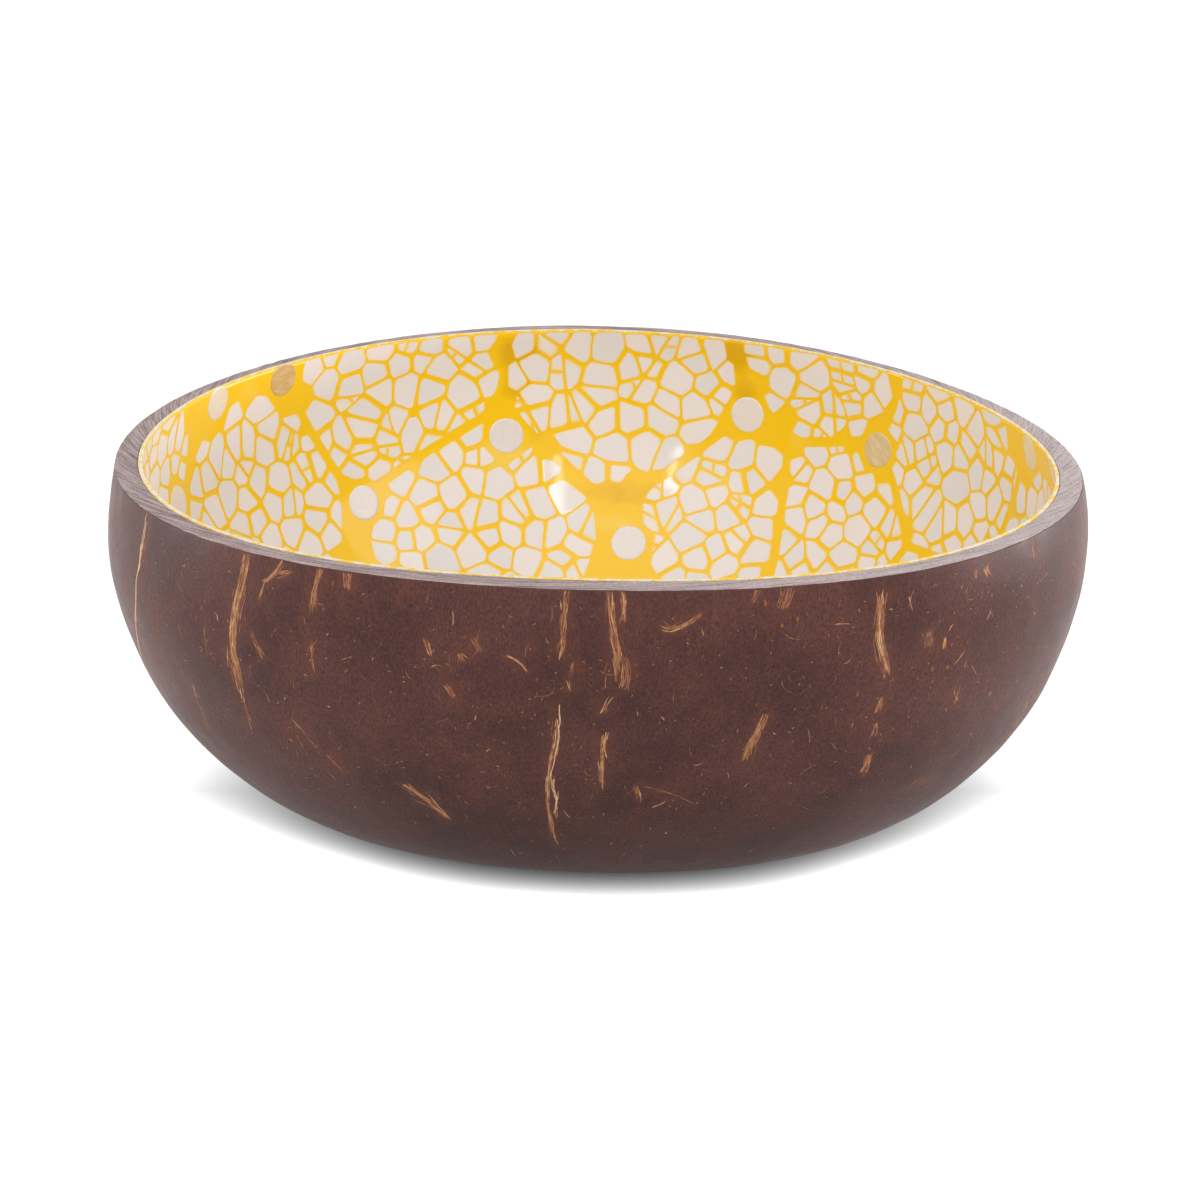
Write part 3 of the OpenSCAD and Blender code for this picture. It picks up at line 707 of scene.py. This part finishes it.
def makeFlecks():
    # short cut ends and curled hairs scattered over the whole skin
    settings = {
        # lengths are in mm here, but for the heights over the skin
        "seed": 5, "step": 0.4, "arc": 1.13, "ragged": 1.3, "lift": 0.01 * mm, "toneLift": 0.025 * mm,
        "sink": 0.12 * mm, "lowest": 3, "highest": 52, "crowding": 0.75, "within": (2, 52.6),
        "dots": 2700, "dotLength": (0.2, 0.65), "dotWidth": (0.12, 0.28),
        "dotTones": (0.02, 0.3, 0.4, 0.45, 0.55),
        "dashes": 560, "dashLength": (0.6, 2.2), "dashWidth": (0.12, 0.3), "dashLean": 0.7, "dashBend": 0.15,
        "dashTones": (0.05, 0.3, 0.4, 0.5, 0.6), "freeTone": 0.8,
        "hairs": 200, "hairLength": (1.2, 4), "hairWidth": (0.08, 0.14), "hairBend": 0.2,
        "hairTone": (0.2, 0.42), "anyWay": (0, 6.3),
    }
    rng = random.Random(settings["seed"])
    parts = ([], [], [])
    least, most = settings["within"]
    for i in range(settings["dots"] + settings["dashes"] + settings["hairs"]):
        if i < settings["dots"]:
            length, width = rng.uniform(*settings["dotLength"]), rng.uniform(*settings["dotWidth"])
            lean, bend = rng.uniform(*settings["anyWay"]), 0
            tone = rng.choice((*settings["dotTones"], settings["freeTone"] * rng.random()))
        elif i < settings["dots"] + settings["dashes"]:
            short, more = settings["dashLength"]
            length, width = short + more * rng.random() ** 2, rng.uniform(*settings["dashWidth"])
            lean, bend = rng.gauss(0, settings["dashLean"]), rng.gauss(0, settings["dashBend"])
            tone = rng.choice((*settings["dashTones"], settings["freeTone"] * rng.random()))
        else:
            length, width = rng.uniform(*settings["hairLength"]), rng.uniform(*settings["hairWidth"])
            lean, bend = rng.uniform(*settings["anyWay"]), rng.gauss(0, settings["hairBend"]) * length
            tone = rng.uniform(*settings["hairTone"])
        azimuth = rng.uniform(0, 360) * settings["arc"]
        rise = settings["highest"] - settings["lowest"]
        height = settings["lowest"] + rise * rng.random() ** settings["crowding"]
        along = Vector((math.sin(lean), math.cos(lean)))
        side = Vector((along.y, -along.x))
        count = max(4, round(length / settings["step"]) + 1)
        points = []
        for k in range(count):
            share = k / (count - 1) - 0.5
            spot = along * length * share + side * bend * (1 - 4 * share * share)
            points.append(Vector((azimuth + spot.x, min(max(height + spot.y, least), most))))
        addFibre(parts, points, width, tone, settings, rng)
    fibrePiece("shell_flecks", bpy.data.materials["sanded_coir_fibre"], parts)


makeFibres()
makeFlecks()


# Lacquer lining

rimTops = [0] * 64  # height of the lining's top edge at even steps of angle
rimStep = 360 / len(rimTops)


def rimHeight(point):
    column = azimuthOf(point) / rimStep
    low, share = int(column), column - int(column)
    return rimTops[low % len(rimTops)] * (1 - share) + rimTops[(low + 1) % len(rimTops)] * share


def makeLining():
    # the lacquer is rubbed level with the inlay, so its face stands in the bedding of the chips
    settings = {
        "smoothLevels": 2, "level": 0.34 * mm, "rimFrom": 45 * mm, "faceUp": 0.7, "inward": (0.2, 0.8),
        # soft pools of thick lacquer (above the plain depth), painted shade among them, and thin patches
        # (below): angle, height, reach in mm, depth
        "plainDepth": 0.5, "poolEdge": (1.3, 0.3),
        "poolsAndShade": [
            (101, 50, 3.6, 0.95), (101, 45, 3, 0.85), (99, 38, 3, 0.7), (71, 51, 3.4, 0.95),
            # the row from angle 96 to 79 at 28 to 31 mm is painted shade: deeper yellow where a step below
            # the eggshell field above would shade the lacquer
            (69.5, 45, 3, 0.8), (119, 51, 4, 0.6), (96, 30.6, 2.6, 0.6), (92.5, 29, 2.8, 0.66),
            (89, 28.3, 3, 0.68), (85.5, 28.3, 3, 0.68), (82, 29, 2.8, 0.66), (79, 31, 2.6, 0.6),
            (87, 24.6, 2.6, 0.25), (91, 25, 2.4, 0.3), (83, 24.6, 2.4, 0.3), (103, 34.5, 5, 0.25),
            (122, 33, 5, 0.3), (80, 35, 4, 0.25), (60, 40, 4, 0.3), (145, 51, 3.5, 0.3), (74, 32, 6, 0.28),
            (40, 35, 5, 0.35),
        ],
    }
    piece = copyNode("lacquer_lining", "lacquered_lining", [lacquerMaterial()])
    openMesh(piece)
    bpy.ops.mesh.tris_convert_to_quads(face_threshold=math.radians(40), shape_threshold=math.radians(60))
    bpy.ops.mesh.select_mode(type="FACE")
    pickFaces(piece, lambda face: face.normal.z > settings["faceUp"] and face.center.z > settings["rimFrom"])
    bpy.ops.mesh.region_to_loop()
    bpy.ops.transform.edge_crease(value=1)
    bpy.ops.object.mode_set(mode="OBJECT")
    for vertex in piece.data.vertices:
        column = round(azimuthOf(vertex.co) / rimStep) % len(rimTops)
        rimTops[column] = max(rimTops[column], vertex.co.z)
    face = piece.vertex_groups.new(name="face")
    subdivideSmoothly(piece, settings["smoothLevels"])
    for vertex in piece.data.vertices:
        inward = vertex.normal.z - vertex.normal.dot(roundVector(azimuthOf(vertex.co), 1))
        face.add([vertex.index], smoothStep(*settings["inward"], inward), "REPLACE")
    applyModifier(piece, "DISPLACE", {"strength": settings["level"], "mid_level": 0, "vertex_group": "face"})
    # the depths are the lacquer's thickness, and painted shade along the arc under the back field
    below, depthsAndShade = [], []
    for vertex in piece.data.vertices:
        below.append((rimHeight(vertex.co) - vertex.co.z) / mm)
        depth = settings["plainDepth"]
        for azimuth, height, reach, pool in settings["poolsAndShade"]:
            turn = (azimuthOf(vertex.co) - azimuth + 180) % 360 - 180
            away = math.hypot(math.radians(turn) * vertex.co.xy.length / mm, vertex.co.z / mm - height)
            outer, inner = settings["poolEdge"]
            depth += (pool - settings["plainDepth"]) * smoothStep(reach * outer, reach * inner, away)
        depthsAndShade.append(depth)
    pointValues(piece, "belowRim", "FLOAT", below)
    pointValues(piece, "lacquerDepth", "FLOAT", depthsAndShade)
    smoothFaces(piece)
    finishPiece(piece, "lacquer", "lacquer_lining")
    print("lining:", len(piece.data.polygons), "faces")
    return piece


lining = makeLining()
liningTree = treeOf(lining)


# Eggshell chips

def islandsOf(mesh):
    # the separate chips of a field, as lists of vertices
    seen, islands = set(), []
    for first in mesh.verts:
        if first in seen:
            continue
        seen.add(first)
        island, edge = [first], [first]
        while edge:
            for link in edge.pop().link_edges:
                for other in link.verts:
                    if other not in seen:
                        seen.add(other)
                        island.append(other)
                        edge.append(other)
        islands.append(island)
    return islands


def selectItems(piece, mode, items):
    bpy.ops.mesh.select_mode(type=mode)
    mesh = bmesh.from_edit_mesh(piece.data)
    for item in (*mesh.verts, *mesh.edges, *mesh.faces):
        item.select = False
    for item in items:
        item.select = True
    mesh.select_flush_mode()
    bmesh.update_edit_mesh(piece.data)


def middleOf(vertices):
    return sum((v.co for v in vertices), Vector()) / len(vertices)


def crossedBy(mesh, start, across, length, settings):
    # the larger chips that a crack runs through, leaving a fair part on each side
    line = liningTree.find_nearest(start)[1].cross(across)
    found = []
    for island in islandsOf(mesh):
        offsets = [(v.co - start).dot(across) for v in island]
        spread = max((v.co - island[0].co).length for v in island)
        fair = min(offsets) < -settings["leastPart"] and max(offsets) > settings["leastPart"]
        if fair and spread > settings["crackable"] and abs((middleOf(island) - start).dot(line)) < length:
            found += island
    return found


def crackChips(piece, settings, rng):
    # hairline cracks that run straight across a few neighbouring chips
    for _ in range(settings["cracks"]):
        mesh = bmesh.from_edit_mesh(piece.data)
        start = middleOf(rng.choice(islandsOf(mesh)))
        _, up, _, _ = liningTree.find_nearest(start)
        across = Matrix.Rotation(rng.uniform(0, math.pi), 3, up) @ up.orthogonal().normalized()
        length = rng.uniform(*settings["crackLength"]) / 2
        side = across * rng.uniform(*settings["crackGap"]) / 2
        # one copy keeps the far side of the crack, the other the near side
        for clear, offset in (({"clear_inner": True}, side), ({"clear_outer": True}, -side)):
            crossed = crossedBy(bmesh.from_edit_mesh(piece.data), start, across, length, settings)
            if crossed:
                selectItems(piece, "VERT", crossed)
                if "clear_inner" in clear:
                    bpy.ops.mesh.duplicate()
                bpy.ops.mesh.bisect(plane_co=start + offset, plane_no=across, use_fill=True, **clear)


def liftedPlace(point, height):
    # the place on the lining nearest to a point, raised towards the middle of the bowl
    place, up, _, _ = liningTree.find_nearest(point)
    return place + up * height


def topsOf(mesh, settings):
    # the faces of the chips that look into the bowl
    return [face for face in mesh.faces
            if face.normal.dot(liningTree.find_nearest(face.calc_center_median())[1]) > settings["topFacing"]]


def steepness(edge):
    # 1 for an edge through the thickness of a chip, 0 for one that lies along the lining
    way = edge.verts[0].co - edge.verts[1].co
    return abs(way.normalized().dot(liningTree.find_nearest(edge.verts[0].co)[1]))


def roundChips(piece, settings):
    # broken corners worn round, and edges that wander a little
    mesh = bmesh.from_edit_mesh(piece.data)
    selectItems(piece, "EDGE", [edge for edge in mesh.edges if steepness(edge) > settings["upright"]])
    bpy.ops.mesh.bevel(offset_type="PERCENT", offset_pct=settings["cornerPercent"], segments=3,
                       affect="EDGES", clamp_overlap=False)
    mesh = bmesh.from_edit_mesh(piece.data)
    selectItems(piece, "EDGE", [edge for edge in mesh.edges if edge.calc_length() > settings["longEdge"]
                                and steepness(edge) < settings["lying"]])
    bpy.ops.mesh.subdivide(number_cuts=1)
    mesh = bmesh.from_edit_mesh(piece.data)
    for vertex in mesh.verts:
        _, up, _, _ = liningTree.find_nearest(vertex.co)
        shift = noise.noise_vector(vertex.co / settings["wanderLength"]) * settings["wander"]
        vertex.co += shift - up * shift.dot(up)
    bmesh.update_edit_mesh(piece.data)


def stepIn(piece, settings, inset, height, tint):
    # a ring inside each chip's top, set in by a distance and laid at a height over the lining
    bpy.ops.mesh.inset(thickness=0, depth=0, use_individual=True)
    mesh = bmesh.from_edit_mesh(piece.data)
    tints = mesh.verts.layers.float["edgeTint"]
    lifts = mesh.verts.layers.float["chipLift"]
    for face in [f for f in mesh.faces if f.select]:
        corners = [v.co.copy() for v in face.verts]
        centre = sum(corners, Vector()) / len(corners)
        sides = [corner - corners[i - 1] for i, corner in enumerate(corners)]
        reach = min((corner - centre).cross(side).length / max(side.length, tiny)
                    for corner, side in zip(corners, sides))
        share = max(1 - inset / max(reach, tiny), settings["leastShare"])
        for vertex in face.verts:
            vertex.co = liftedPlace(centre + (vertex.co - centre) * share, height + vertex[lifts] * share)
            vertex[tints] = tint
    bmesh.update_edit_mesh(piece.data)


def makeField(nodeName, pieceName, material, settings, rng):
    piece = copyNode(nodeName, pieceName, [material])
    openMesh(piece)
    bpy.ops.mesh.select_mode(type="VERT")
    bpy.ops.mesh.dissolve_limited(angle_limit=math.radians(1))
    mesh = bmesh.from_edit_mesh(piece.data)
    for island in islandsOf(mesh):
        centre, spread = middleOf(island), rng.uniform(*settings["spread"])
        for vertex in island:
            vertex.co = centre + (vertex.co - centre) * spread
    bmesh.update_edit_mesh(piece.data)
    crackChips(piece, settings, rng)
    roundChips(piece, settings)
    mesh = bmesh.from_edit_mesh(piece.data)
    tints = mesh.verts.layers.float.new("edgeTint")
    tones = mesh.verts.layers.float.new("chipTone")
    lifts = mesh.verts.layers.float.new("chipLift")
    tops = topsOf(mesh, settings)
    high = {vertex for face in tops for vertex in face.verts}
    for island in islandsOf(mesh):
        centre = middleOf(island)
        _, up, _, _ = liningTree.find_nearest(centre)
        slope = Matrix.Rotation(rng.uniform(0, 2 * math.pi), 3, up) @ up.orthogonal().normalized()
        slope *= abs(rng.gauss(0, settings["lean"]))
        chipTone = rng.random()
        for vertex in island:
            below = rimHeight(vertex.co) - vertex.co.z
            lift = settings["rimReach"] * (1 - smoothStep(*settings["rimNear"], below))
            vertex.co.z += min(lift, below - settings["rimShort"])
            vertex[tones], vertex[tints] = chipTone, 1.0
            vertex[lifts] = slope.dot(vertex.co - centre)
            height = settings["edgeHeight"] + vertex[lifts] if vertex in high else -settings["depth"]
            vertex.co = liftedPlace(vertex.co, height)
    bmesh.update_edit_mesh(piece.data)
    selectItems(piece, "FACE", tops)
    for inset, height, ringTint in settings["rings"]:
        stepIn(piece, settings, inset, height, ringTint)
    bpy.ops.object.mode_set(mode="OBJECT")
    bpy.ops.object.shade_smooth_by_angle(angle=math.radians(40))
    finishPiece(piece, "eggshell", nodeName)
    return len(piece.data.polygons)


def makeFields():
    settings = {
        "seed": 3, "topFacing": 0.8, "upright": 0.8, "lying": 0.5,
        # chips grow by a share, a few crack, corners wear round and edges wander
        "spread": (1.01, 1.045), "cracks": 3, "crackLength": (6 * mm, 16 * mm),
        "crackGap": (0.14 * mm, 0.32 * mm), "leastPart": 1.4 * mm, "crackable": 4.6 * mm,
        "cornerPercent": 19, "longEdge": 1.1 * mm, "wander": 0.11 * mm, "wanderLength": 1.3 * mm,
        "lean": math.radians(0.3), "depth": 0.2 * mm, "edgeHeight": 0.02 * mm, "leastShare": 0.3,
        # chips this near the rim reach up to it
        "rimReach": 0.24 * mm, "rimNear": (0.5 * mm, 1.3 * mm), "rimShort": 0.06 * mm,
        # rings of a chip's top: distance in from the last ring, height over the lining, tint
        "rings": [(0.14 * mm, 0.026 * mm, 0.5), (0.31 * mm, 0.03 * mm, 0.0)],
    }
    material = eggshellMaterial()
    rng = random.Random(settings["seed"])
    noise.seed_set(settings["seed"])  # or else noise_vector takes its offsets from the clock
    total = 0
    names = [name for name in sorted(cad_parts) if name.startswith("eggshell_field_")]
    for name in names:
        total += makeField(name, name.replace("eggshell_field", "eggshell_chips"), material, settings, rng)
    print("eggshell:", len(names), "fields,", total, "faces")


makeFields()


# Pearl discs

def makePearls():
    settings = {
        "seed": 8, "sides": 40, "thickness": 0.5 * mm, "edge": 0.14 * mm, "edgeDrop": 0.5, "edgeRing": 2,
        "flatRing": 0.35, "proud": 0.06 * mm, "depth": 0.2 * mm, "topFacing": 0.9, "smallFace": 1e-6,
        # the outline wanders by a share of the radius, the growth bands run one way across the disc
        "wander": 0.024, "wanderPace": 1.6, "drift": (0, 100), "bandWidth": 1.1 * mm,
        "bandStretch": (0.5, 1.6),
        # hues from silver through white and cream to honey, first of the discs the far wall shows
        "tones": [0.85, 0.42, 0.35, 0.12, 0.1, 0.15, 0.28, 0.74, 0.6],
        "otherTones": (0.1, 0.2, 0.35, 0.5, 0.6, 0.85),
    }
    material = pearlMaterial()
    rng = random.Random(settings["seed"])
    names = [name for name in sorted(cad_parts) if name.startswith("pearl_disc_")]
    for number, name in enumerate(names):
        corners = [v.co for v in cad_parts[name].data.vertices]
        centre = sum(corners, Vector()) / len(corners)
        radius = max((c - centre).length for c in corners)
        place, up, _, _ = liningTree.find_nearest(centre)
        bpy.ops.object.select_all(action="DESELECT")
        bpy.ops.mesh.primitive_cylinder_add(vertices=settings["sides"], radius=radius,
                                            depth=settings["thickness"])
        piece = bpy.context.object
        piece.name = name.replace("pearl_disc", "pearl_inlay")
        piece.data.name = piece.name
        bpy.ops.object.mode_set(mode="EDIT")
        bpy.ops.mesh.select_mode(type="FACE")
        pickFaces(piece, lambda face: face.normal.z > settings["topFacing"])
        bpy.ops.mesh.inset(thickness=settings["edge"], depth=settings["edge"] * settings["edgeDrop"])
        bpy.ops.mesh.inset(thickness=settings["edge"] * settings["edgeRing"], depth=0)
        bpy.ops.mesh.inset(thickness=radius * settings["flatRing"], depth=0)
        bpy.ops.object.mode_set(mode="OBJECT")
        drift = rng.uniform(*settings["drift"])
        for vertex in piece.data.vertices:
            turn = vertex.co.xy.normalized() * settings["wanderPace"]
            grow = 1 + settings["wander"] * noise.noise(Vector((turn.x, turn.y, drift)))
            vertex.co.x *= grow
            vertex.co.y *= grow
        turn = rng.uniform(0, math.pi)
        along, across = settings["bandStretch"]
        bands = []
        for vertex in piece.data.vertices:
            spot = Matrix.Rotation(turn, 2) @ vertex.co.xy / settings["bandWidth"]
            bands.append((spot.x * along + drift, spot.y * across, number))
        tones = settings["tones"]
        tone = tones[number] if number < len(tones) else rng.choice(settings["otherTones"])
        pointValues(piece, "pearlPlace", "FLOAT_VECTOR", bands)
        pointValues(piece, "pearlTone", "FLOAT", [tone] * len(piece.data.vertices))
        heights = [v.co.z for v in piece.data.vertices]
        seat = up.to_track_quat("Z", "Y").to_matrix().to_4x4()
        piece.data.transform(Matrix.Translation(place) @ seat)
        for vertex, height in zip(piece.data.vertices, heights):
            level = settings["proud"] + height - max(heights) if height > 0 else -settings["depth"]
            vertex.co = liftedPlace(vertex.co, level)
        piece.data.materials.append(material)
        for face in piece.data.polygons:
            face.use_smooth = len(face.vertices) < 5 or face.area > settings["smallFace"]
        finishPiece(piece, "pearl", name)
    print("pearl discs:", len(names))


makePearls()


# Studio and camera

def makeStudio():
    settings = {
        "floorWidth": 6.0, "floorCuts": 8, "ambient": 0.6, "aim": (0, 0, 30 * mm),
        # place, width, height, watts: key, top, right, two low ones at the sides, two slim ones
        # whose reflections are the glints in the lacquer
        "softboxes": [
            ((-0.4, -1.1, 1.15), 1.8, 1.8, 11.2), ((0.0, 0.3, 1.5), 1.4, 1.4, 3.0),
            ((1.2, -0.5, 0.6), 0.7, 0.7, 3.0), ((1.15, 0.25, 0.1), 0.7, 0.16, 7.5),
            ((-1.2, 0.15, 0.1), 0.7, 0.16, 3.8), ((0.26, -1.32, 0.58), 0.06, 0.4, 0.9),
            ((-0.58, -1.25, 0.46), 0.06, 0.25, 0.6),
        ],
    }
    cuts = settings["floorCuts"]
    bpy.ops.object.select_all(action="DESELECT")
    bpy.ops.mesh.primitive_grid_add(x_subdivisions=cuts, y_subdivisions=cuts, size=settings["floorWidth"])
    floor = bpy.context.object
    floor.name = "studio_floor"
    floor.data.materials.append(studioMaterial())
    for place, width, height, watts in settings["softboxes"]:
        light = bpy.data.lights.new("softbox", "AREA")
        light.shape = "RECTANGLE"
        light.size, light.size_y, light.energy = width, height, watts
        lamp = bpy.data.objects.new("softbox", light)
        bpy.context.scene.collection.objects.link(lamp)
        lamp.location = place
        lamp.rotation_euler = (Vector(place) - Vector(settings["aim"])).to_track_quat("Z", "Y").to_euler()
    world = bpy.data.worlds.new("studio")
    world.use_nodes = True
    tree = world.node_tree
    tree.nodes.clear()
    rays = addNode(tree, "LightPath")
    ambient = addNode(tree, "Background", {"Color": "#FFFFFF", "Strength": settings["ambient"]})[0]
    white = addNode(tree, "Background", {"Color": "#FFFFFF", "Strength": 1.0})[0]
    seen = addNode(tree, "Math", {"operation": "MAXIMUM"},
                   {0: rays["Is Camera Ray"], 1: rays["Is Glossy Ray"]})[0]
    both = addNode(tree, "MixShader", {}, {0: seen, 1: ambient, 2: white})[0]
    addNode(tree, "OutputWorld", {}, {"Surface": both})
    bpy.context.scene.world = world


def makeCamera():
    # the photograph's view: 18.6 degrees down from 0.97 m away, on a 1200 pixel square
    settings = {"pitch": 18.56, "distance": 972.7 * mm, "aimHeight": 27.24 * mm, "focalPixels": 6706,
                "imagePixels": 1200, "dropPixels": 27.85, "sidePixels": -0.965,
                "sensorWidth": 36, "clipStart": 10 * mm}
    lens = bpy.data.cameras.new("camera")
    lens.sensor_width = settings["sensorWidth"]
    lens.lens = settings["focalPixels"] / settings["imagePixels"] * settings["sensorWidth"]
    lens.shift_x = -settings["sidePixels"] / settings["imagePixels"]
    lens.shift_y = settings["dropPixels"] / settings["imagePixels"]
    lens.clip_start = settings["clipStart"]
    camera = bpy.data.objects.new("camera", lens)
    bpy.context.scene.collection.objects.link(camera)
    pitch = math.radians(settings["pitch"])
    camera.location = (0, -settings["distance"] * math.cos(pitch),
                       settings["aimHeight"] + settings["distance"] * math.sin(pitch))
    camera.rotation_euler = (math.pi / 2 - pitch, 0, 0)
    bpy.context.scene.camera = camera


makeStudio()
makeCamera()
bpy.context.scene.view_settings.view_transform = "Standard"
